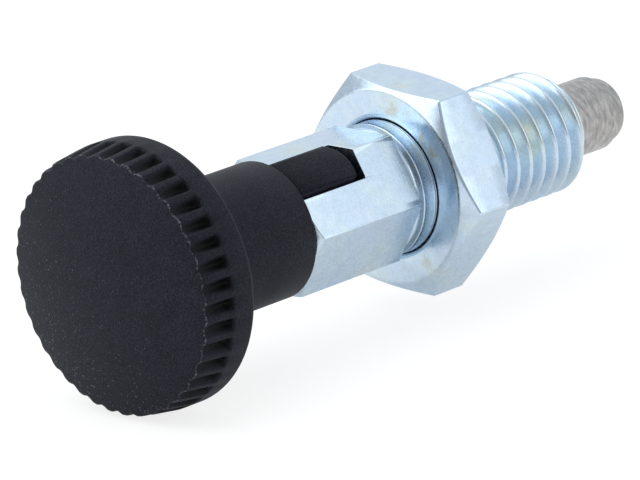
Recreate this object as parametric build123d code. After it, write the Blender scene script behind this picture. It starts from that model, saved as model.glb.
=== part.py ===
from build123d import *
import math
import os

# An indexing plunger: a sprung locking pin in a threaded hexagon sleeve with a lock nut.
# Sizes are in millimetres. X runs along the plunger's axis, from the knob towards the
# pin's tip. X = 0 is the seat plane, the side of the nut that is drawn against a plate.
# Z points up, square to the top flat of the sleeve's hexagon.

# Thread of the sleeve and the nut: M10 x 1.5
thread_d = 10.0
thread_pitch = 1.5
thread_reach = 13.8  # from the seat plane to the sleeve's end
lead_in_len = 0.8

# Lock nut
nut_flats = 16.0
nut_thick = 5.0
nut_turn = 7.0  # degrees that the nut stands round from the sleeve's hexagon
nut_bevel_d = 15.4  # where the 30 degree bevel of a nut face begins
nut_sink_d = 11.3  # mouth of the countersink
nut_sink_deep = 1.1

# Sleeve
hex_flats = 10.0
hex_len = 11.4
hex_bevel_d = 9.7
collar_d = 10.6
collar_len = 2.1
collar_rise = 0.7  # cone from the hexagon's flats up to the collar
collar_bevel = 0.3
collar_in_nut = 0.2  # the collar's end stands in the nut's countersink
relief_len = 1.6
slot_width = 4.2
slot_depth = 7.1
slot_turn = 120.0  # degrees from +Y: the slot crosses two opposite edges of the hexagon
web_thick = 1.8

# Locking pin and its rod
pin_d = 6.0
pin_reach = 6.85  # from the sleeve's end to the pin's tip
tip_d = 5.3
tip_len = 1.35
tip_round = 0.6
tip_shoulder = 0.1
pin_guide_len = 17.05
rod_d = 2.5
rod_in_head = 4.2
groove_deep = 0.2
groove_len = 0.8
groove_pitch = 2.0
groove_count = 2

# Spring
wire_d = 0.55
spring_d = 5.0  # mean diameter of the coil
spring_turns = 5  # turns that work; one more at each end lies closed
wire_sides = 6  # the round wire is drawn with this many flats

# Knob
head_d = 20.6
head_face_d = 19.9
head_len = 6.4  # from the neck's side of the head to the crown of its face
face_len = 4.9  # from the neck's side of the head to the edge of its face
rim_width = 0.75  # cone round the ball-shaped middle of the face
rim_drop = 0.28
ring_len = 2.3  # smooth ring behind the flutes
ring_round = 0.6
flute_count = 40
flute_turn = 2.5  # degrees from +Y to the middle of the first flute
flute_mouth = 1.0  # width between the ridges, at the ring
flute_floor = 0.6
flute_deep = 0.23  # at the rim of the face
flute_end_deep = 0.75  # at the ring, where the flutes are deepest
neck_d = 10.8
neck_len = 11.5
neck_root = 0.5  # small cone where the neck meets the head
key_d = 10.5
key_play = 0.2  # each side of the key in the slot
key_end_gap = 0.4
key_end_round = 4.5  # radius of the key's front end, seen along the slot

# Clearances
slide_gap = 0.05  # round the pin and the rod where they slide
thread_gap = 0.05  # between the two threads, drawn at their pitch diameter inside the nut

# Places along X
thread_r = thread_d / 2
thread_minor_r = thread_r - 0.6134 * thread_pitch
thread_mid_r = thread_r - 0.3248 * thread_pitch
nut_near_x = -nut_thick
collar_end_x = nut_near_x + collar_in_nut
hex_front_x = collar_end_x - collar_len
hex_rear_x = hex_front_x - hex_len
slot_floor_x = hex_rear_x + slot_depth
chamber_x = slot_floor_x + web_thick
pin_tip_x = thread_reach + pin_reach
pin_shoulder_x = pin_tip_x - pin_guide_len
head_back_x = hex_rear_x - neck_len
key_front_x = slot_floor_x - key_end_gap
rod_end_x = head_back_x - rod_in_head


def turned(points):
    """A solid turned about X from its half section, given as (x, radius) points."""
    with BuildPart() as body:
        with BuildSketch(Plane.XY):
            with BuildLine():
                Polyline(*points, close=True)
            make_face()
        revolve(axis=Axis.X)
    return body.part


def bar_along_x(sketch, x_from, x_to):
    """A solid that runs along X between two places, with the given section across it."""
    section = Plane(origin=(x_from, 0, 0), x_dir=(0, 1, 0), z_dir=(1, 0, 0)) * sketch
    return extrude(section, amount=x_to - x_from)


def hexagon(flats, turn):
    """A hexagon section, by the width across its flats and the turn of its first corner."""
    return Rot(0, 0, turn) * RegularPolygon(flats / 2, 6, major_radius=False)


def bevel_cone(flats, bevel_d, x_face, side):
    """Points of the 30 degree bevel that turns off a hexagon's corners at one end."""
    corner_r = flats / math.sqrt(3)
    drop = (corner_r - bevel_d / 2) * math.tan(math.radians(30))
    return [(x_face, bevel_d / 2), (x_face + side * drop, corner_r)]


def make_sleeve():
    """The hexagon body with its slot, collar, thread and bore."""
    # the hexagon's rear corners are turned off, its front ones are left sharp
    rear_bevel = bevel_cone(hex_flats, hex_bevel_d, hex_rear_x, 1)
    front = [(hex_front_x, hex_flats), (hex_front_x, 0), (hex_rear_x, 0)]
    body = turned(rear_bevel + front) & bar_along_x(hexagon(hex_flats, 0), hex_rear_x, hex_front_x)
    # collar, thread relief, thread and lead-in; inside the nut the thread is drawn
    # at its pitch diameter, where the two threads bear on each other
    body += turned(
        [
            (hex_front_x, 0),
            (hex_front_x, hex_flats / 2),
            (hex_front_x + collar_rise, collar_d / 2),
            (collar_end_x - collar_bevel, collar_d / 2),
            (collar_end_x, collar_d / 2 - collar_bevel),
            (collar_end_x, thread_minor_r),
            (collar_end_x + relief_len, thread_minor_r),
            (collar_end_x + relief_len, thread_mid_r),
            (0, thread_mid_r),
            (0, thread_r),
            (thread_reach - lead_in_len, thread_r),
            (thread_reach, thread_minor_r),
            (thread_reach, 0),
        ]
    )
    bore_r = pin_d / 2 + slide_gap
    rod_hole_r = rod_d / 2 + slide_gap
    body -= turned(
        [
            (hex_rear_x, 0),
            (hex_rear_x, rod_hole_r),
            (chamber_x, rod_hole_r),
            (chamber_x, bore_r),
            (thread_reach, bore_r),
            (thread_reach, 0),
        ]
    )
    slot = Rot(0, 0, slot_turn) * Rectangle(2 * hex_flats, slot_width)
    return body - bar_along_x(slot, hex_rear_x, slot_floor_x)


def make_lock_nut():
    """The thin hexagon nut, bevelled and countersunk on both sides."""
    near_bevel = bevel_cone(nut_flats, nut_bevel_d, nut_near_x, 1)
    far_bevel = bevel_cone(nut_flats, nut_bevel_d, 0, -1)
    blank = turned([(nut_near_x, 0)] + near_bevel + far_bevel[::-1] + [(0, 0)])
    nut = blank & bar_along_x(hexagon(nut_flats, nut_turn), nut_near_x, 0)
    hole_r = thread_mid_r + thread_gap
    return nut - turned(
        [
            (nut_near_x, 0),
            (nut_near_x, nut_sink_d / 2),
            (nut_near_x + nut_sink_deep, hole_r),
            (-nut_sink_deep, hole_r),
            (0, nut_sink_d / 2),
            (0, 0),
        ]
    )


def make_plunger_pin():
    """The locking pin with its stepped tip, and the thin rod that the knob is moulded on."""
    shoulder_x = pin_tip_x - tip_len
    pin = turned(
        [
            (rod_end_x, 0),
            (rod_end_x, rod_d / 2),
            (pin_shoulder_x, rod_d / 2),
            (pin_shoulder_x, pin_d / 2),
            (shoulder_x - tip_shoulder, pin_d / 2),
            (shoulder_x, tip_d / 2),
            (pin_tip_x, tip_d / 2),
            (pin_tip_x, 0),
        ]
    )
    tip_edge = pin.edges().filter_by(GeomType.CIRCLE).sort_by(Axis.X)[-1]
    pin = fillet(tip_edge, tip_round)
    # rings in the rod's end, which the knob's plastic fills
    for i in range(groove_count):
        ring_x = rod_end_x + groove_len + i * groove_pitch
        pin -= turned(
            [
                (ring_x, rod_d / 2 - groove_deep),
                (ring_x, rod_d),
                (ring_x + groove_len, rod_d),
                (ring_x + groove_len, rod_d / 2 - groove_deep),
            ]
        )
    return pin


def make_spring():
    """The coil spring between the sleeve's web and the pin's shoulder, with closed ends."""
    coil_r = spring_d / 2
    seat_x = chamber_x + wire_d / 2
    free_len = pin_shoulder_x - chamber_x - wire_d
    closed_len = wire_d * 1.02
    open_pitch = (free_len - 2 * closed_len) / spring_turns
    steps = 6
    points = []
    total = spring_turns + 2
    for i in range(total * steps + 1):
        turn = i / steps
        if turn < 1:
            along = closed_len * turn
        elif turn > total - 1:
            along = free_len - closed_len * (total - turn)
        else:
            along = closed_len + open_pitch * (turn - 1)
        angle = 2 * math.pi * turn
        points.append((seat_x + along, coil_r * math.cos(angle), coil_r * math.sin(angle)))
    path = Spline(*points)
    start = Plane(origin=path @ 0, z_dir=path % 0)
    return sweep(start * RegularPolygon(wire_d / 2, wire_sides), path=path)


def make_knob(pin):
    """The moulded knob: fluted head, neck and the key that locks into the sleeve's slot."""
    crown_x = head_back_x - head_len
    rim_x = head_back_x - face_len
    ring_x = head_back_x - ring_len
    rim_r = head_face_d / 2
    # the ring's outer edge is rounded off in two steps
    step = ring_round / 3
    cone_start_r = rim_r - (rim_x - crown_x) * rim_width / rim_drop
    blank = turned(
        [
            (crown_x, 0),
            (crown_x, cone_start_r),
            (rim_x, rim_r),
            (ring_x, head_d / 2),
            (head_back_x - ring_round, head_d / 2),
            (head_back_x - step, head_d / 2 - step),
            (head_back_x, head_d / 2 - ring_round),
            (head_back_x, neck_d / 2 + neck_root),
            (head_back_x + neck_root, neck_d / 2),
            (hex_rear_x, neck_d / 2),
            (hex_rear_x, 0),
        ]
    )
    # the face is part of a ball whose centre lies on the axis, inside that cone
    inner_r = rim_r - rim_width
    rise = rim_x - rim_drop - crown_x
    ball_r = (inner_r**2 + rise**2) / (2 * rise)
    blank = blank & Pos(crown_x + ball_r, 0, 0) * Sphere(ball_r)
    # flutes from the edge of the face to the smooth ring, wider at the mouth than the floor
    floor_r = head_d / 2 - flute_end_deep
    tilt = math.degrees(math.atan((rim_r - flute_deep - floor_r) / (ring_x - rim_x)))
    flare = (flute_mouth - flute_floor) / 2 / flute_end_deep
    top_r = head_d / 2 + flute_end_deep
    top_half = flute_floor / 2 + flare * (top_r - floor_r)
    section = Polygon(
        (floor_r, -flute_floor / 2),
        (top_r, -top_half),
        (top_r, top_half),
        (floor_r, flute_floor / 2),
        align=None,
    )
    ring_end = Pos(ring_x, 0, 0)
    flute = ring_end * Rot(0, 0, -tilt) * bar_along_x(section, crown_x - ring_x, 0)
    turns = [flute_turn + 360 * i / flute_count for i in range(flute_count)]
    knob = blank - [Rot(turn, 0, 0) * flute for turn in turns]
    # the key crosses the neck's full width and fills the slot but for its play
    key_width = slot_width - 2 * key_play
    key_section = Circle(key_d / 2) & Rot(0, 0, slot_turn) * Rectangle(2 * key_d, key_width)
    key = bar_along_x(key_section, hex_rear_x, key_front_x)
    round_end = Rot(slot_turn - 90, 0, 0) * Cylinder(key_end_round, 2 * key_d)
    key = key & Pos(key_front_x - key_end_round, 0, 0) * round_end
    return knob + key - pin


def main():
    os.makedirs("parts", exist_ok=True)
    pin = make_plunger_pin()
    parts = {
        "sleeve": make_sleeve(),
        "lock_nut": make_lock_nut(),
        "plunger_pin": pin,
        "spring": make_spring(),
        "knob": make_knob(pin),
    }
    for name, solid in parts.items():
        export_step(solid, f"parts/{name}.step")


main()
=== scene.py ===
import math

import bpy
import bmesh
import numpy as np
from mathutils import Matrix, Vector


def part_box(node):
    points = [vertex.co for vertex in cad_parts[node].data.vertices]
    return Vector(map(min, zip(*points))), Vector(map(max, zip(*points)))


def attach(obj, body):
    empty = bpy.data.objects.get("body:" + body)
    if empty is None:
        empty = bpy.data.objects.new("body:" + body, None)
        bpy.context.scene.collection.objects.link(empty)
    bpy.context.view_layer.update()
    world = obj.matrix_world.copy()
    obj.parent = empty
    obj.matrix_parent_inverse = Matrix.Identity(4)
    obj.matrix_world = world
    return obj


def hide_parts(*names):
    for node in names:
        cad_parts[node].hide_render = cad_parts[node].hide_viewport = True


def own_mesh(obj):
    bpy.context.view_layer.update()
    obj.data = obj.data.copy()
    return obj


# An indexing plunger, dressed round its CAD model. X runs along the axis from the knob to
# the pin's tip, X = 0 is the nut's seat plane, and Z is square to the hexagon's top flat.
# Lengths are written in millimetres and become metres where a mesh is made.

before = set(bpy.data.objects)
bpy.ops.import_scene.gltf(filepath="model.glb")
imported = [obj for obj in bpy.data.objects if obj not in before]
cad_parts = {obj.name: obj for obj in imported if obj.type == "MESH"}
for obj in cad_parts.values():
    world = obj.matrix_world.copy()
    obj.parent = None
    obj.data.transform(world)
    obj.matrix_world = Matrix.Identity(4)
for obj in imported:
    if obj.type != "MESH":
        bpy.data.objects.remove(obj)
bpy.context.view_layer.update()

MM = 0.001


def span(node):
    """A node's lowest and highest X, in millimetres."""
    low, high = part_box(node)
    return low.x / MM, high.x / MM


def half_height(node):
    """A node's greatest height above the axis, in millimetres."""
    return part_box(node)[1].z / MM


# lock nut
nut_near_x, nut_far_x = span("lock_nut")
nut_thick = nut_far_x - nut_near_x
nut_apothem = 8.0
nut_turn = math.radians(7)
nut_bevel_r = 7.7
nut_sink_r = 5.65
nut_sink_deep = 1.1
nut_corner_round = 0.25
nut_edge_round = 0.3

# sleeve: the hexagon and its slot
hex_rear_x, thread_end_x = span("sleeve")
hex_apothem = 5.0
hex_len = 11.4
hex_front_x = hex_rear_x + hex_len
hex_corner_round = 0.12
hex_edge_round = 0.07
hex_bevel_r = 4.85
slot_deep = 7.1
slot_floor_x = hex_rear_x + slot_deep
slot_width = 4.2
slot_turn = math.radians(120)

# sleeve: the collar, whose end stands in the nut's countersink
collar_r = half_height("sleeve")
collar_rise = 0.7
collar_round = 0.1
collar_in_nut = 0.26
collar_end_x = nut_near_x + collar_in_nut
collar_foot_r = collar_r - collar_round
foot_in_nut = 0.42
collar_foot_x = nut_near_x + foot_in_nut
relief_in_nut = 1.8
relief_end_x = nut_near_x + relief_in_nut

# sleeve: the thread, M10 x 1.5; the metric profile gives its depths as shares of the pitch
thread_r = 5.0
thread_pitch = 1.5
root_share = 0.6134
mid_share = 0.3248
thread_minor_r = thread_r - root_share * thread_pitch
thread_mid_r = thread_r - mid_share * thread_pitch
thread_crest_half = 0.07
thread_root_half = 0.1
lead_in_len = 0.8
lead_in_x = thread_end_x - lead_in_len
nut_play = 0.05
nut_hole_r = thread_mid_r + nut_play

# sleeve: the inside
web_thick = 1.8
chamber_x = slot_floor_x + web_thick
bore_r = 3.05
rod_hole_r = 1.3

# knob
key_front_x = span("knob")[1]
head_r = half_height("knob")
neck_len = 11.5
head_back_x = hex_rear_x - neck_len
head_len = 6.4
crown_x = head_back_x - head_len
edge_len = 4.9
rim_x = head_back_x - edge_len
rim_r = 9.95
ring_len = 2.3
ring_x = head_back_x - ring_len
ring_round = 0.6
flute_count = 40
flute_turn = math.radians(2.5)
flute_front_deep = 0.23
flute_back_deep = 0.75
flute_front_r = rim_r - flute_front_deep
flute_back_r = head_r - flute_back_deep
neck_r = 5.4
neck_fillet = 0.6
key_r = 5.25
key_half = 1.9
key_end_round = 4.5
key_edge_round = 0.3

# locking pin and its rod
rod_end_x, pin_tip_x = span("plunger_pin")
pin_r = half_height("plunger_pin")
rod_r = 1.25
pin_len = 17.05
pin_shoulder_x = pin_tip_x - pin_len
pin_bevel = 0.15
tip_r = 2.65
tip_len = 1.35
tip_round = 0.6

# spring
wire_r = 0.275
coil_r = 2.5
spring_turns = 5

# the table top under the knob
floor_z = -10.3


def make_piece(name, points, faces, body, nodes):
    """A mesh object from points in millimetres, that rides on a body for its CAD nodes."""
    mesh = bpy.data.meshes.new(name)
    mesh.from_pydata([tuple(p * MM for p in point) for point in points], [], faces)
    mesh.update()
    piece = bpy.data.objects.new(name, mesh)
    bpy.context.scene.collection.objects.link(piece)
    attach(piece, body)
    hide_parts(*nodes)
    return piece


def band(a, b, n):
    """The faces between two rings of n points, which start at the points a and b."""
    return [(a + k, a + (k + 1) % n, b + (k + 1) % n, b + k) for k in range(n)]


def even_angles(n):
    """Angles evenly spread round the axis."""
    return [2 * math.pi * k / n for k in range(n)]


def lathe(rows, angles):
    """Points and faces of a skin round X. Each row gives (x, r), as numbers or one per angle.

    A row of radius 0 closes the skin with a single point. The first row joins the last
    where neither is closed.
    """
    angles = np.asarray(angles)
    n = len(angles)
    points = []
    starts = []
    for x, r in rows:
        starts.append(len(points))
        if np.ndim(r) == 0 and r == 0:
            points.append((float(np.max(x)), 0.0, 0.0))
            continue
        x = np.broadcast_to(x, n)
        r = np.broadcast_to(r, n)
        for k in range(n):
            points.append((x[k], r[k] * math.cos(angles[k]), r[k] * math.sin(angles[k])))
    sizes = [b - a for a, b in zip(starts, starts[1:] + [len(points)])]
    pairs = list(zip(range(len(rows) - 1), range(1, len(rows))))
    if sizes[0] > 1:
        pairs.append((len(rows) - 1, 0))
    faces = []
    for a, b in pairs:
        for near, beside, across, opposite in band(starts[a], starts[b], n):
            if sizes[a] == 1:
                faces.append((starts[a], across, opposite))
            elif sizes[b] == 1:
                faces.append((near, beside, starts[b]))
            else:
                faces.append((near, beside, across, opposite))
    return points, faces


def corner_spread(apothem, corner_round, turn, steps):
    """Angles round a hexagon: evenly spread, and close together at its rounded corners."""
    too_close = 0.012
    reach = (apothem - corner_round) * math.tan(math.pi / 6)
    half = math.pi / 6 - math.atan2(reach, apothem)
    even = [2 * math.pi * (k + 0.5) / steps for k in range(steps)]
    close = [turn + k * math.pi / 3 + half * j / 3 for k in range(6) for j in range(-4, 5)]

    def gap(a):
        return min(abs(math.remainder(a - c, 2 * math.pi)) for c in close)

    even = [a for a in even if gap(a) > too_close]
    return np.array(sorted((a % (2 * math.pi)) for a in even + close))


def hexagon_radius(angles, apothem, corner_round, turn):
    """The distance from the axis to a hexagon with rounded corners, at each angle."""
    from_corner = (angles - turn + math.pi / 6) % (math.pi / 3) - math.pi / 6
    flat = apothem / np.cos(math.pi / 6 - np.abs(from_corner))
    centre = (apothem - corner_round) / math.cos(math.pi / 6)
    inside = corner_round**2 - (centre * np.sin(from_corner)) ** 2
    rounded = centre * np.cos(from_corner) + np.sqrt(np.maximum(inside, 0))
    return np.where(inside > 0, np.minimum(flat, rounded), flat)


def bevel_depth(hexagon, bevel_r):
    """How far a hexagon's 30 degree end bevel reaches back, at each angle."""
    return (hexagon - bevel_r) * math.tan(math.radians(30))


def soften(piece, width, degrees, segments):
    """Rounds the edges sharper than an angle."""
    bevel = piece.modifiers.new("soft edges", "BEVEL")
    bevel.width = width * MM
    bevel.segments = segments
    bevel.limit_method = "ANGLE"
    bevel.angle_limit = math.radians(degrees)


def shade(piece):
    """Smooth shading that keeps flat faces flat."""
    for polygon in piece.data.polygons:
        polygon.use_smooth = True
    normals = piece.modifiers.new("flat faces stay flat", "WEIGHTED_NORMAL")
    normals.keep_sharp = True


def bake(piece):
    """Puts what the modifiers make into the piece's own mesh."""
    bpy.context.view_layer.update()
    graph = bpy.context.evaluated_depsgraph_get()
    made = bpy.data.meshes.new_from_object(piece.evaluated_get(graph))
    piece.modifiers.clear()
    piece.data = made


def arc_rows(x, r, size, start, end, steps):
    """Rows along a quarter round about (x, r), from one angle in degrees to another."""
    rows = []
    for k in range(steps + 1):
        a = math.radians(start + (end - start) * k / steps)
        rows.append((x + size * math.cos(a), r + size * math.sin(a)))
    return rows


def sleeve_body():
    """The hexagon, bevelled at its rear, with the web's hole and the bore inside it."""
    angles = corner_spread(hex_apothem, hex_corner_round, turn=0, steps=120)
    hexagon = hexagon_radius(angles, hex_apothem, hex_corner_round, turn=0)
    # rows along the flats keep their faces short
    first_step, last_step = 3.0, 2.0
    rows = [
        (hex_rear_x, rod_hole_r),
        (hex_rear_x, hex_bevel_r),
        (hex_rear_x + bevel_depth(hexagon, hex_bevel_r), hexagon),
        (hex_rear_x + first_step, hexagon),
        (hex_rear_x + 2 * first_step, hexagon),
        (hex_front_x - last_step, hexagon),
        (hex_front_x, hexagon),
        (hex_front_x, bore_r),
        (chamber_x, bore_r),
        (chamber_x, rod_hole_r),
    ]
    return lathe(rows, angles)


def sleeve_collar():
    """The round collar, from inside the hexagon to the thread relief under the nut."""
    into_hexagon = 0.3
    root_x = hex_front_x - into_hexagon
    slope = (collar_r - hex_apothem) / collar_rise
    lip_x = collar_end_x - collar_round
    # a turned bead at each end of the collar, with a shallow waist between them
    bead_half, bead_high = 0.12, 0.05
    first_bead_x = hex_front_x + collar_rise + 0.04
    last_bead_x = lip_x - bead_half
    rows = [
        (root_x, bore_r),
        (root_x, hex_apothem + slope * (root_x - hex_front_x)),
        (first_bead_x - bead_half, collar_r - 0.04),
    ]
    for bead_x in (first_bead_x, last_bead_x):
        for k in range(-3, 4):
            rise = bead_high * math.cos(math.pi / 6 * k)
            rows.append((bead_x + bead_half * k / 3, collar_r - bead_high + rise))
    rows += arc_rows(lip_x, collar_r - collar_round, collar_round, 90, 0, 6)
    rows += [
        (collar_foot_x, collar_foot_r),
        (collar_foot_x, thread_minor_r),
        (relief_end_x, thread_minor_r),
        (relief_end_x, bore_r),
    ]
    return lathe(rows, even_angles(128))


def thread_shape(phase):
    """How far the thread stands over its root, from 0 to 1, at a phase from its crest."""
    straight = 0.6
    away = np.abs((phase + 0.5) % 1 - 0.5)
    flank = 0.5 - thread_root_half - thread_crest_half
    ramp = np.clip((0.5 - thread_root_half - away) / flank, 0, 1)
    return straight * ramp + (1 - straight) * ramp * ramp * (3 - 2 * ramp)


def sleeve_thread():
    """The thread and its end. Its rows climb the helix, so crest and root run along edges."""
    n = 160
    per_pitch = 24
    angles = 2 * math.pi * (np.arange(n) + 0.5) / n
    start = relief_end_x - 2 * thread_pitch
    count = int((thread_end_x - start) / thread_pitch * per_pitch) + per_pitch + 2
    steps = np.arange(count)[:, None]
    climb = thread_pitch * angles[None, :] / (2 * math.pi)
    x = start + steps * thread_pitch / per_pitch + climb
    height = thread_shape(steps / per_pitch + 0 * x)
    # inside the nut the crest stays low, where the nut's own thread fills the gap
    nut_end_len, crest_clear = 0.45, 0.02
    in_nut = np.clip(-x / nut_end_len, 0, 1)
    crest = thread_r + (thread_mid_r - crest_clear - thread_r) * in_nut
    # it runs out at the lead-in bevel, and grows out of the relief
    lead_in = (thread_r - thread_minor_r) / (thread_end_x - lead_in_x)
    crest = np.minimum(crest, thread_r - (x - lead_in_x) * lead_in)
    grow_len = 0.5
    grow = np.clip((x - relief_end_x) / grow_len, 0, 1)
    r = thread_minor_r + np.maximum(crest - thread_minor_r, 0) * height * grow
    r = np.where(x >= thread_end_x, thread_minor_r, r)
    x = np.clip(x, relief_end_x, thread_end_x)
    rings = [(x[i], r[i]) for i in range(count)]
    # the end face, the bore's bevelled mouth and the bore
    mouth = 0.15
    for ring_place, ring_r in (
        (thread_end_x, bore_r + mouth),
        (thread_end_x - mouth, bore_r),
        (relief_end_x, bore_r),
    ):
        rings.append((ring_place + 0 * angles, ring_r + 0 * angles))
    points = []
    for xs, rs in rings:
        for k in range(n):
            points.append((xs[k], rs[k] * math.cos(angles[k]), rs[k] * math.sin(angles[k])))
    faces = []
    last = count - 1 - per_pitch
    for i in range(count - 1):
        faces += band(i * n, (i + 1) * n, n)[:-1]
        # across the seam a row goes on as the row one pitch further along
        if i < last:
            far = (i + per_pitch) * n
            faces.append((i * n + n - 1, far, far + n, (i + 1) * n + n - 1))
    rest = [count - 1, count, count + 1, count + 2, 0]
    for a, b in zip(rest, rest[1:]):
        faces += band(a * n, b * n, n)
    return points, faces


def slot_ways():
    """The directions along the slot, which is also the key's length, and across it."""
    along = Vector((0, math.cos(slot_turn), math.sin(slot_turn)))
    across = Vector((0, -math.sin(slot_turn), math.cos(slot_turn)))
    return along, across


def cut_slot(piece):
    """Cuts the slot that takes the knob's key across the rear of the hexagon."""
    past_rear, long, wide = 2.0, 8.0, slot_width / 2
    along, across = slot_ways()
    corners = []
    for x in (hex_rear_x - past_rear, slot_floor_x):
        for a, b in ((-long, -wide), (long, -wide), (long, wide), (-long, wide)):
            corners.append((Vector((x, 0, 0)) + along * a + across * b) * MM)
    mesh = bpy.data.meshes.new("slot cutter")
    sides = [(0, 3, 2, 1), (4, 5, 6, 7), (0, 1, 5, 4), (1, 2, 6, 5), (2, 3, 7, 6), (3, 0, 4, 7)]
    mesh.from_pydata(corners, [], sides)
    cutter = bpy.data.objects.new("slot cutter", mesh)
    bpy.context.scene.collection.objects.link(cutter)
    cut = piece.modifiers.new("slot", "BOOLEAN")
    cut.operation = "DIFFERENCE"
    cut.solver = "EXACT"
    cut.object = cutter
    return cutter


def add_skin(piece, points, faces):
    """Adds a second closed skin to a piece's mesh, and joins its points that fall together."""
    same_place, no_length = 2e-7, 1e-8  # metres
    work = bmesh.new()
    work.from_mesh(piece.data)
    made = [work.verts.new(tuple(p * MM for p in point)) for point in points]
    for face in faces:
        work.faces.new([made[k] for k in face])
    bmesh.ops.remove_doubles(work, verts=made, dist=same_place)
    bmesh.ops.dissolve_degenerate(work, edges=work.edges, dist=no_length)
    work.to_mesh(piece.data)
    work.free()


def make_sleeve():
    """The sleeve: its hexagon with the slot and softened edges, then collar and thread."""
    points, faces = sleeve_body()
    sleeve = make_piece("threaded_sleeve", points, faces, "sleeve_body", ["sleeve"])
    cutter = cut_slot(sleeve)
    soften(sleeve, hex_edge_round, degrees=28, segments=2)
    bake(sleeve)
    bpy.data.objects.remove(cutter)
    add_skin(sleeve, *sleeve_collar())
    add_skin(sleeve, *sleeve_thread())
    shade(sleeve)
    return sleeve


def make_nut():
    """The thin lock nut, bevelled and countersunk on both sides."""
    angles = corner_spread(nut_apothem, nut_corner_round, nut_turn, steps=144)
    hexagon = hexagon_radius(angles, nut_apothem, nut_corner_round, nut_turn)
    drop = bevel_depth(hexagon, nut_bevel_r)
    # the two rows along the flats keep their faces short
    rows = [
        (nut_near_x, nut_sink_r),
        (nut_near_x, nut_bevel_r),
        (nut_near_x + drop, hexagon),
        (nut_near_x + 0.35 * nut_thick, hexagon),
        (nut_near_x + 0.65 * nut_thick, hexagon),
        (nut_far_x - drop, hexagon),
        (nut_far_x, nut_bevel_r),
        (nut_far_x, nut_sink_r),
        (nut_far_x - nut_sink_deep, nut_hole_r),
        (nut_near_x + nut_sink_deep, nut_hole_r),
    ]
    points, faces = lathe(rows, angles)
    nut = make_piece("hexagon_nut", points, faces, "nut", ["lock_nut"])
    soften(nut, nut_edge_round, degrees=18, segments=5)
    shade(nut)
    return nut


def ridge_r(x):
    """The radius of the cone that the ridges between the flutes lie on."""
    return rim_r + (head_r - rim_r) * (x - rim_x) / (ring_x - rim_x)


def flute_places():
    """Angles round the knob's head, and at each how deep in a flute it lies, from 0 to 1."""
    # places across one flute and ridge, close together on the ridge's shoulders
    beside = [0.06, 0.13, 0.2, 0.27, 0.32, 0.37, 0.43]
    across = [-0.5] + [-place for place in reversed(beside)] + [0] + beside
    half_flute = 0.38
    # a power below 1 makes the flute's floor wider than a plain wave's
    fullness = 0.72
    angles, dip = [], []
    for k in range(flute_count):
        for place in across:
            angles.append(flute_turn + (k + place) * 2 * math.pi / flute_count)
            inside = min(abs(place) / half_flute, 1)
            dip.append((0.5 + 0.5 * math.cos(math.pi * inside)) ** fullness)
    return np.array(angles), np.array(dip)


def knob_head():
    """The domed face, the fluted edge, the smooth ring, the neck and its end.

    Returns the points, the faces, and the use marks of the points up to the fluted edge.
    """
    angles, dip = flute_places()
    rise = rim_x - crown_x
    ball_r = (rim_r**2 + rise**2) / (2 * rise)

    def face_x(r):
        return crown_x + ball_r - math.sqrt(ball_r**2 - r**2)

    rows = [(crown_x, 0)]
    for r in (0.6, 1.5, 2.5, 3.5, 4.5, 5.5, 6.5, 7.4, 8.2, 8.8, 9.1, 9.35):
        rows.append((face_x(r), r))
    # the scalloped edge of the face is pale from use
    wear_and_sheen = [0.0] * (1 + len(angles) * (len(rows) - 1))
    for whitening in (0.25, 0.8, 1.0, 0.5):
        wear_and_sheen += [whitening] * len(angles)
    # each row of the edge runs from its place on a ridge to its place in a flute
    floor_x = face_x(flute_front_r)
    ridge = [
        (face_x(9.68), 9.68),
        (face_x(9.82) + 0.01, 9.82),
        (rim_x + 0.06, rim_r - 0.02),
        (rim_x + 0.2, ridge_r(rim_x + 0.2)),
        (rim_x + 1.0, ridge_r(rim_x + 1.0)),
        (ring_x - 0.5, ridge_r(ring_x - 0.5)),
        (ring_x - 0.15, ridge_r(ring_x - 0.15)),
    ]
    flute = [
        (face_x(flute_front_r - 0.2), flute_front_r - 0.2),
        (floor_x + 0.01, flute_front_r - 0.07),
        (floor_x + 0.1, flute_front_r),
        (floor_x + 0.3, flute_front_r - 0.01),
        (rim_x + 1.0, flute_front_r + 0.4 * (flute_back_r - flute_front_r)),
        (ring_x - 0.5, flute_back_r),
        (ring_x - 0.12, flute_back_r + 0.05),
    ]
    for (ax, ar), (bx, br) in zip(ridge, flute):
        rows.append((ax + (bx - ax) * dip, ar + (br - ar) * dip))
    # the flutes end at the ring
    rows.append((ring_x - 0.02, ridge_r(ring_x - 0.02) - 0.35 * dip))
    rows += [(ring_x + 0.05, head_r - 0.05 * dip), (ring_x + 0.16, head_r)]
    rows += arc_rows(head_back_x - ring_round, head_r - ring_round, ring_round, 90, 0, 8)
    rows.append((head_back_x, neck_r + neck_fillet + 0.3))
    fillet_x, fillet_r = head_back_x + neck_fillet, neck_r + neck_fillet
    rows += arc_rows(fillet_x, fillet_r, neck_fillet, 180, 270, 5)
    # the neck's end, a little rounded where it meets the hexagon
    rows += [(hex_rear_x - 4.0, neck_r), (hex_rear_x - 0.12, neck_r)]
    rows += [(hex_rear_x - 0.03, neck_r - 0.05), (hex_rear_x, neck_r - 0.15), (hex_rear_x, 0)]
    points, faces = lathe(rows, angles)
    return points, faces, wear_and_sheen


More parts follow.
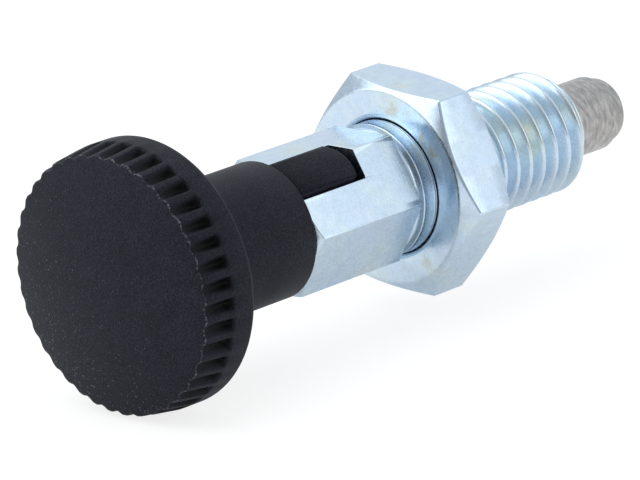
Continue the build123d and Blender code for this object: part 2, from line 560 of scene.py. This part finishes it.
def knob_key():
    """The key: a bar that crosses the neck, rounded at its edges, its front end bulging."""
    into_neck = 0.5
    root_x = hex_rear_x - into_neck
    # each ring of points lies this far back from the key's end, and inset from its sides
    rings = [(None, 0.0), (key_edge_round, 0.0)]
    for k in range(1, 6):
        a = math.radians(90 * k / 5)
        rings.append((key_edge_round * (1 - math.sin(a)), key_edge_round * (1 - math.cos(a))))
    along, across = slot_ways()
    steps = 14
    points, faces = [], []
    for back, inset in rings:
        near, far = [], []
        for j in range(steps + 1):
            place = (key_half - inset) * (2 * j / steps - 1)
            reach = math.sqrt((key_r - inset) ** 2 - place**2)
            bulge = key_end_round - math.sqrt(key_end_round**2 - place**2)
            x = root_x if back is None else key_front_x - bulge - back
            spot = Vector((x, 0, 0)) + across * place
            near.append(tuple(spot + along * reach))
            far.append(tuple(spot - along * reach))
        points += near + far[::-1]
    size = 2 * (steps + 1)
    for i in range(len(rings) - 1):
        faces += band(i * size, (i + 1) * size, size)
    end = (len(rings) - 1) * size
    for j in range(steps):
        faces.append((j + 1, j, size - 1 - j, size - 2 - j))
        faces.append((end + j, end + j + 1, end + size - 2 - j, end + size - 1 - j))
    return points, faces


def make_knob():
    """The knob with its key, and the values its material reads at each point: use marks with a
    painted highlight, and painted shade in the flutes.
    """
    points, faces, edge_wear = knob_head()
    knob = make_piece("fluted_knob", points, faces, "plunger", ["knob"])
    wear_and_sheen = knob.data.attributes.new("wear_and_sheen", "FLOAT", "POINT")
    flute_shade = knob.data.attributes.new("flute_shade", "FLOAT", "POINT")
    # painted shade: a flute is at its darkest from this depth on
    dark_deep = 0.4
    # a painted highlight line lies this far inside the ring's faces, and fades over this width
    sheen_in, sheen_wide, sheen_most = 0.15, 0.3, 0.75
    for k, (x, y, z) in enumerate(points):
        r = math.hypot(y, z)
        # how deep a point lies in a flute, under the cone of the ridges
        deep = (ridge_r(x) - r) / dark_deep if rim_x < x < ring_x else 0.0
        flute_shade.data[k].value = min(max(deep, 0.0), 1.0)
        # a painted highlight along the ring's rear edge
        from_edge = math.hypot(x - head_back_x + sheen_in, r - head_r + sheen_in)
        whitening = edge_wear[k] if k < len(edge_wear) else 0.0
        wear_and_sheen.data[k].value = max(0.0, whitening, sheen_most - from_edge / sheen_wide)
    add_skin(knob, *knob_key())
    shade(knob)
    return knob


def make_pin():
    """The locking pin with its stepped tip, and the rod that the knob is moulded on."""
    step_x = pin_tip_x - tip_len
    rows = [(rod_end_x, 0), (rod_end_x, rod_r), (pin_shoulder_x - 0.02, rod_r)]
    rows += [(pin_shoulder_x, rod_r + 0.02), (pin_shoulder_x, pin_r - pin_bevel)]
    rows += [(pin_shoulder_x + pin_bevel, pin_r), (step_x - 0.5, pin_r)]
    # the step down to the tip, a little rounded at its top and its foot
    rows += [(step_x - 0.2, pin_r), (step_x - 0.1, pin_r - 0.06)]
    rows += [(step_x - 0.02, tip_r + 0.05), (step_x + 0.05, tip_r)]
    rows += arc_rows(pin_tip_x - tip_round, tip_r - tip_round, tip_round, 90, 0, 10)
    rows += [(pin_tip_x, 0.9), (pin_tip_x, 0)]
    points, faces = lathe(rows, even_angles(96))
    pin = make_piece("locking_pin", points, faces, "plunger", ["plunger_pin"])
    shade(pin)
    return pin


def make_spring():
    """The coil spring with closed ends, between the sleeve's web and the pin's shoulder; it is
    built at one length and does not shorten with the pull.
    """
    room = pin_shoulder_x - chamber_x
    seat_x = chamber_x + wire_r
    free_len = room - 2 * wire_r
    # a closed turn climbs by the wire's width and a little more
    closed_len = 2 * wire_r * 1.02
    open_pitch = (free_len - 2 * closed_len) / spring_turns
    total, per_turn, sides = spring_turns + 2, 28, 10
    points, faces = [], []
    count = total * per_turn + 1
    for i in range(count):
        turn = i / per_turn
        if turn < 1:
            along = closed_len * turn
        elif turn > total - 1:
            along = free_len - closed_len * (total - turn)
        else:
            along = closed_len + open_pitch * (turn - 1)
        a = 2 * math.pi * turn
        out = Vector((0, math.cos(a), math.sin(a)))
        for b in even_angles(sides):
            offset = out * (coil_r + wire_r * math.cos(b))
            points.append((seat_x + along + wire_r * math.sin(b), offset.y, offset.z))
    for i in range(count - 1):
        faces += band(i * sides, (i + 1) * sides, sides)
    faces.append(tuple(range(sides - 1, -1, -1)))
    faces.append(tuple((count - 1) * sides + k for k in range(sides)))
    spring = make_piece("coil_spring", points, faces, "sleeve_body", ["spring"])
    shade(spring)
    bake(spring)
    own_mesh(spring)
    return spring


def linear(code):
    """An sRGB hex colour as the linear colour that a shader takes."""
    out = []
    for k in (0, 2, 4):
        c = int(code[k : k + 2], 16) / 255
        out.append(c / 12.92 if c <= 0.04045 else ((c + 0.055) / 1.055) ** 2.4)
    return (*out, 1.0)


def node(tree, kind, links=None, **settings):
    """Adds a node, sets its properties and sockets, and joins what feeds its sockets."""
    made = tree.nodes.new(kind)
    for key, value in settings.items():
        setattr(made, key, value)
    for key, value in (links or {}).items():
        socket = made.inputs[key]
        if isinstance(value, bpy.types.NodeSocket):
            tree.links.new(value, socket)
        else:
            socket.default_value = value
    return made


def new_material(name):
    """A material whose node tree is empty."""
    material = bpy.data.materials.new(name)
    material.use_nodes = True
    material.node_tree.nodes.clear()
    return material, material.node_tree


def put_on(piece, material):
    """Makes a material the piece's only one."""
    piece.data.materials.clear()
    piece.data.materials.append(material)


def ramp_stops(ramp, stops):
    """Sets a colour ramp's stops from (place, hex colour) pairs."""
    elements = ramp.color_ramp.elements
    while len(elements) > 1:
        elements.remove(elements[-1])
    elements[0].position, elements[0].color = stops[0][0], linear(stops[0][1])
    for place, code in stops[1:]:
        elements.new(place).color = linear(code)


def millimetres(tree):
    """A place on the object, in millimetres, so that a pattern's scale is 1 over its size."""
    place = node(tree, "ShaderNodeTexCoord").outputs["Object"]
    scaled = node(
        tree, "ShaderNodeVectorMath", {0: place, "Scale": 1 / MM}, operation="SCALE"
    )
    return scaled.outputs[0]


def zinc_plating():
    """Blue-passivated zinc plating on turned steel.

    A pale blue-white mirror, blurred by the plating's crystals, with fine turning marks
    and a faint straw and green tint that drifts over a few millimetres.
    """
    material, tree = new_material("blue-passivated zinc plating")
    mm = millimetres(tree)
    # the passivation's tint drifts over about 5 mm
    drift = node(
        tree,
        "ShaderNodeTexNoise",
        {"Vector": mm, "Scale": 1 / 5.0, "Detail": 3.0, "Roughness": 0.55},
    )
    tint = node(tree, "ShaderNodeValToRGB", {"Fac": drift.outputs["Fac"]})
    stops = [(0.3, "d3e1eb"), (0.45, "ccdeef"), (0.57, "d2e3ec")]
    stops += [(0.66, "d6e0dc"), (0.75, "dbdbcc")]
    ramp_stops(tint, stops)
    # the plating's crystals, drawn about 0.4 mm across so that they show
    crystals = node(
        tree,
        "ShaderNodeTexNoise",
        {"Vector": mm, "Scale": 1 / 0.4, "Detail": 4.0, "Roughness": 0.6},
    )
    # turning marks: rings about the axis, about 0.125 mm apart
    split = node(tree, "ShaderNodeSeparateXYZ", {0: mm})
    flat = node(tree, "ShaderNodeCombineXYZ", {1: split.outputs[1], 2: split.outputs[2]})
    radius = node(
        tree, "ShaderNodeVectorMath", {0: flat.outputs[0]}, operation="LENGTH"
    ).outputs["Value"]
    along = node(
        tree, "ShaderNodeMath", {0: radius, 1: split.outputs[0]}, operation="ADD"
    ).outputs[0]
    rings = node(
        tree,
        "ShaderNodeTexNoise",
        {"W": along, "Scale": 1 / 0.125, "Detail": 2.0, "Roughness": 0.7},
        noise_dimensions="1D",
    )
    height = node(
        tree,
        "ShaderNodeMath",
        {0: rings.outputs["Fac"], 1: 0.9, 2: crystals.outputs["Fac"]},
        operation="MULTIPLY_ADD",
    ).outputs[0]
    bump = node(
        tree, "ShaderNodeBump", {"Height": height, "Strength": 0.09, "Distance": 0.03 * MM}
    )
    crystal = crystals.outputs["Fac"]
    rough = node(
        tree,
        "ShaderNodeMapRange",
        {"Value": crystal, "From Min": 0.3, "From Max": 0.7, "To Min": 0.19, "To Max": 0.3},
    )
    # blotches where the crystals grew thicker, about 0.8 mm across
    blotch = node(
        tree,
        "ShaderNodeTexNoise",
        {"Vector": mm, "Scale": 1 / 0.8333, "Detail": 5.0, "Roughness": 0.7},
    ).outputs["Fac"]
    thick = node(
        tree,
        "ShaderNodeMapRange",
        {"Value": blotch, "From Min": 0.38, "From Max": 0.62, "To Min": 0.0, "To Max": 0.5},
    ).outputs[0]
    mottled = node(
        tree,
        "ShaderNodeMix",
        {"Factor": thick, 6: tint.outputs["Color"], 7: linear("bfcfde")},
        data_type="RGBA",
    ).outputs[2]
    # straw stains where the passivation dried, on the nut's faces round its countersinks
    ring = node(
        tree,
        "ShaderNodeMapRange",
        {"Value": radius, "From Min": 5.8, "From Max": 6.1, "To Min": 0.0, "To Max": 1.0},
    ).outputs[0]
    fade = node(
        tree,
        "ShaderNodeMapRange",
        {"Value": radius, "From Min": 6.6, "From Max": 7.4, "To Min": 1.0, "To Max": 0.0},
    ).outputs[0]
    # each stain is about 2.5 mm across
    stain = node(
        tree,
        "ShaderNodeTexNoise",
        {"Vector": mm, "Scale": 1 / 2.5, "Detail": 4.0, "Roughness": 0.65},
    ).outputs["Fac"]
    stained = node(
        tree,
        "ShaderNodeMapRange",
        {"Value": stain, "From Min": 0.54, "From Max": 0.68, "To Min": 0.0, "To Max": 0.55},
    ).outputs[0]
    for limit in (ring, fade):
        stained = node(
            tree, "ShaderNodeMath", {0: stained, 1: limit}, operation="MULTIPLY"
        ).outputs[0]
    colour = node(
        tree,
        "ShaderNodeMix",
        {"Factor": stained, 6: mottled, 7: linear("b09c70")},
        data_type="RGBA",
    ).outputs[2]
    shader = node(
        tree,
        "ShaderNodeBsdfPrincipled",
        {
            "Base Color": colour,
            "Metallic": 1.0,
            "Roughness": rough.outputs[0],
            "Normal": bump.outputs["Normal"],
        },
    )
    node(tree, "ShaderNodeOutputMaterial", {"Surface": shader.outputs[0]})
    return material


def black_polyamide():
    """Black glass-filled polyamide, moulded in a spark-eroded tool.

    A soft matt blue-black with a fine even grain, pale dust specks, whitish corners pale from
    use, a painted highlight on the ring's rear edge and painted shade in the flutes.
    """
    material, tree = new_material("moulded black polyamide")
    mm = millimetres(tree)
    # the tool's grain, about 0.15 mm across
    grain = node(
        tree,
        "ShaderNodeTexNoise",
        {"Vector": mm, "Scale": 1 / 0.15385, "Detail": 3.0, "Roughness": 0.6},
    )
    bump = node(
        tree,
        "ShaderNodeBump",
        {"Height": grain.outputs["Fac"], "Strength": 0.5, "Distance": 0.05 * MM},
    )
    # its tone: the glass fibres' speckle, about 0.11 mm across, and faint 2 mm clouds
    cloud = node(
        tree,
        "ShaderNodeTexNoise",
        {"Vector": mm, "Scale": 1 / 2.0, "Detail": 5.0, "Roughness": 0.7},
    )
    speckle = node(
        tree,
        "ShaderNodeTexNoise",
        {"Vector": mm, "Scale": 1 / 0.11111, "Detail": 3.0, "Roughness": 0.8},
    )
    mixed = node(
        tree,
        "ShaderNodeMix",
        {"Factor": 0.88, 2: cloud.outputs["Fac"], 3: speckle.outputs["Fac"]},
    )
    tone = node(tree, "ShaderNodeValToRGB", {"Fac": mixed.outputs[0]})
    ramp_stops(tone, [(0.41, "0e0e14"), (0.5, "1a1b24"), (0.59, "2a2b36")])
    # dust: small specks about 0.33 mm apart, in loose patches about 2.2 mm wide, and more
    # of them low on the +Y side
    dust = node(
        tree, "ShaderNodeTexVoronoi", {"Vector": mm, "Scale": 1 / 0.33333, "Randomness": 1.0}
    )
    patches = node(
        tree,
        "ShaderNodeTexNoise",
        {"Vector": mm, "Scale": 1 / 2.2222, "Detail": 3.0, "Roughness": 0.7},
    )
    lean = node(
        tree, "ShaderNodeVectorMath", {0: mm, 1: (0, -0.008, 0.008)}, operation="DOT_PRODUCT"
    ).outputs["Value"]
    spread = node(
        tree,
        "ShaderNodeMath",
        {0: patches.outputs["Fac"], 1: 0.4, 2: dust.outputs["Distance"]},
        operation="MULTIPLY_ADD",
    ).outputs[0]
    spread = node(
        tree, "ShaderNodeMath", {0: spread, 1: lean}, operation="ADD"
    ).outputs[0]
    speck = node(
        tree,
        "ShaderNodeMapRange",
        {"Value": spread, "From Min": 0.19, "From Max": 0.33, "To Min": 0.38, "To Max": 0.0},
    ).outputs[0]
    # the face's edge pale from use and a painted highlight on the ring's rear edge, broken into
    # short pieces about 0.18 mm wide
    whitening = node(tree, "ShaderNodeAttribute", attribute_name="wear_and_sheen").outputs["Fac"]
    breakup = node(
        tree,
        "ShaderNodeTexNoise",
        {"Vector": mm, "Scale": 1 / 0.18182, "Detail": 4.0, "Roughness": 0.75},
    )
    pale_wear_and_sheen = node(
        tree, "ShaderNodeMath", {0: whitening, 1: breakup.outputs["Fac"]}, operation="MULTIPLY"
    ).outputs[0]
    pale_wear_and_sheen = node(
        tree,
        "ShaderNodeMapRange",
        {"Value": pale_wear_and_sheen, "From Min": 0.43, "From Max": 0.66, "To Min": 0.0, "To Max": 0.65},
    ).outputs[0]
    pale = node(
        tree, "ShaderNodeMath", {0: speck, 1: pale_wear_and_sheen}, operation="MAXIMUM"
    ).outputs[0]
    dust_and_sheen = node(
        tree,
        "ShaderNodeMix",
        {"Factor": pale, 6: tone.outputs["Color"], 7: linear("9a9ba1")},
        data_type="RGBA",
    )
    # painted shade: the flutes' floors are darkened, the more the deeper they lie
    flute_shade = node(tree, "ShaderNodeAttribute", attribute_name="flute_shade").outputs["Fac"]
    colour = node(
        tree,
        "ShaderNodeMix",
        {"Factor": flute_shade, 6: dust_and_sheen.outputs[2], 7: linear("060608")},
        data_type="RGBA",
    )
    shader = node(
        tree,
        "ShaderNodeBsdfPrincipled",
        {
            "Base Color": colour.outputs[2],
            "Roughness": 0.52,
            "IOR": 1.53,
            "Specular IOR Level": 0.12,
            "Normal": bump.outputs["Normal"],
        },
    )
    node(tree, "ShaderNodeOutputMaterial", {"Surface": shader.outputs[0]})
    return material


def turned_stainless():
    """Stainless steel, turned and left bare: a dull warm grey with fine rings round the axis."""
    material, tree = new_material("turned stainless steel")
    mm = millimetres(tree)
    # marks drawn about 0.28 mm apart along the axis, and about 0.77 mm long round it
    apart, long = 0.27778, 0.76923
    stretched = node(
        tree,
        "ShaderNodeVectorMath",
        {0: mm, 1: (1 / apart, 1 / long, 1 / long)},
        operation="MULTIPLY",
    ).outputs[0]
    marks = node(
        tree,
        "ShaderNodeTexNoise",
        {"Vector": stretched, "Scale": 1.0, "Detail": 4.0, "Roughness": 0.6},
    ).outputs["Fac"]
    tone = node(tree, "ShaderNodeValToRGB", {"Fac": marks})
    ramp_stops(tone, [(0.32, "949190"), (0.5, "aba8a5"), (0.68, "c4c1bb")])
    bump = node(
        tree, "ShaderNodeBump", {"Height": marks, "Strength": 0.18, "Distance": 0.03 * MM}
    )
    shader = node(
        tree,
        "ShaderNodeBsdfPrincipled",
        {
            "Base Color": tone.outputs["Color"],
            "Metallic": 1.0,
            "Roughness": 0.36,
            "Normal": bump.outputs["Normal"],
        },
    )
    node(tree, "ShaderNodeOutputMaterial", {"Surface": shader.outputs[0]})
    return material


def spring_steel():
    """Drawn spring wire: a darker, smooth grey steel with a faint mottle, 0.4 mm across."""
    material, tree = new_material("drawn spring steel")
    mm = millimetres(tree)
    mottle = node(tree, "ShaderNodeTexNoise", {"Vector": mm, "Scale": 1 / 0.4, "Detail": 2.0})
    tone = node(tree, "ShaderNodeValToRGB", {"Fac": mottle.outputs["Fac"]})
    ramp_stops(tone, [(0.3, "6c6d70"), (0.7, "8a8b8e")])
    shader = node(
        tree,
        "ShaderNodeBsdfPrincipled",
        {"Base Color": tone.outputs["Color"], "Metallic": 1.0, "Roughness": 0.3},
    )
    node(tree, "ShaderNodeOutputMaterial", {"Surface": shader.outputs[0]})
    return material


def make_floor():
    """A white table top: it takes the object's shadow and is white where none falls."""
    half, level = 1.2, floor_z * MM  # metres
    mesh = bpy.data.meshes.new("floor")
    corners = [(-half, -half, level), (half, -half, level)]
    corners += [(half, half, level), (-half, half, level)]
    mesh.from_pydata(corners, [], [(0, 1, 2, 3)])
    floor = bpy.data.objects.new("floor", mesh)
    bpy.context.scene.collection.objects.link(floor)
    material, tree = new_material("white table top")
    matt = node(tree, "ShaderNodeBsdfDiffuse", {"Color": (0.9, 0.9, 0.9, 1.0)})
    white = node(
        tree, "ShaderNodeEmission", {"Color": (1.0, 1.0, 1.0, 1.0), "Strength": 1.12}
    )
    path = node(tree, "ShaderNodeLightPath")
    # seen straight the floor is mostly white and keeps a faint shadow, in metal a fuller one
    share = node(
        tree, "ShaderNodeMath", {0: path.outputs["Is Camera Ray"], 1: 0.72}, operation="MULTIPLY"
    ).outputs[0]
    share = node(
        tree,
        "ShaderNodeMath",
        {0: path.outputs["Is Glossy Ray"], 1: 0.3, 2: share},
        operation="MULTIPLY_ADD",
    ).outputs[0]
    both = node(
        tree, "ShaderNodeMixShader", {0: share, 1: matt.outputs[0], 2: white.outputs[0]}
    )
    node(tree, "ShaderNodeOutputMaterial", {"Surface": both.outputs[0]})
    put_on(floor, material)


def light_world():
    """A pale room: white where the camera looks, and dimmer low down on the knob's side."""
    bright_way = (0.7, 0.3, 0.65)
    world = bpy.data.worlds.new("pale room")
    bpy.context.scene.world = world
    world.use_nodes = True
    tree = world.node_tree
    tree.nodes.clear()
    way = node(tree, "ShaderNodeTexCoord").outputs["Generated"]
    near = node(
        tree, "ShaderNodeVectorMath", {0: way, 1: bright_way}, operation="DOT_PRODUCT"
    ).outputs["Value"]
    room = node(
        tree,
        "ShaderNodeMapRange",
        {"Value": near, "From Min": -0.5, "From Max": 0.9, "To Min": 0.36, "To Max": 0.98},
    ).outputs[0]
    seen = node(tree, "ShaderNodeLightPath").outputs["Is Camera Ray"]
    strength = node(tree, "ShaderNodeMix", {"Factor": seen, 2: room, 3: 1.0}).outputs[0]
    cool = node(
        tree,
        "ShaderNodeMix",
        {"Factor": seen, 6: linear("f1f7fd"), 7: (1.0, 1.0, 1.0, 1.0)},
        data_type="RGBA",
    ).outputs[2]
    back = node(tree, "ShaderNodeBackground", {"Color": cool, "Strength": strength})
    node(tree, "ShaderNodeOutputWorld", {"Surface": back.outputs[0]})


def soft_box(name, place, size, white):
    """A soft box at a place in millimetres that faces the object; at white 1 it looks white."""
    lamp = bpy.data.lights.new(name, "AREA")
    lamp.shape = "RECTANGLE"
    lamp.size, lamp.size_y = size[0] * MM, size[1] * MM
    lamp.energy = white * math.pi * lamp.size * lamp.size_y
    box = bpy.data.objects.new(name, lamp)
    bpy.context.scene.collection.objects.link(box)
    box.location = Vector(place) * MM
    box.rotation_euler = (-Vector(place)).to_track_quat("-Z", "Y").to_euler()


def make_camera():
    """A long lens from the knob's side, a little above it, tipped to the right."""
    # eye and target are in millimetres, as the fit to the photograph gave them
    eye = Vector((-298.352, -282.913, 114.424))
    target = Vector((-7.103, 5.326, -4.487))
    roll = math.radians(-4.3588)
    forward = (target - eye).normalized()
    level = forward.cross(Vector((0, 0, 1))).normalized()
    over = level.cross(forward)
    right = level * math.cos(roll) + over * math.sin(roll)
    up = right.cross(forward)
    data = bpy.data.cameras.new("camera")
    data.sensor_width = 36.0
    data.lens = 309.375
    data.clip_start, data.clip_end = 0.01, 20.0
    camera = bpy.data.objects.new("camera", data)
    bpy.context.scene.collection.objects.link(camera)
    turn = Matrix((right, up, -forward)).transposed().to_4x4()
    camera.matrix_world = Matrix.Translation(eye * MM) @ turn
    bpy.context.scene.camera = camera


zinc = zinc_plating()
put_on(make_sleeve(), zinc)
put_on(make_nut(), zinc)
put_on(make_knob(), black_polyamide())
put_on(make_pin(), turned_stainless())
put_on(make_spring(), spring_steel())

make_floor()
light_world()
soft_box("overhead", place=(-60, 60, 330), size=(380, 300), white=1.2)
soft_box("side", place=(160, -300, 120), size=(220, 200), white=0.8)
soft_box("window side", place=(-260, 140, 165), size=(330, 300), white=1.3)
make_camera()
bpy.context.scene.view_settings.view_transform = "Standard"
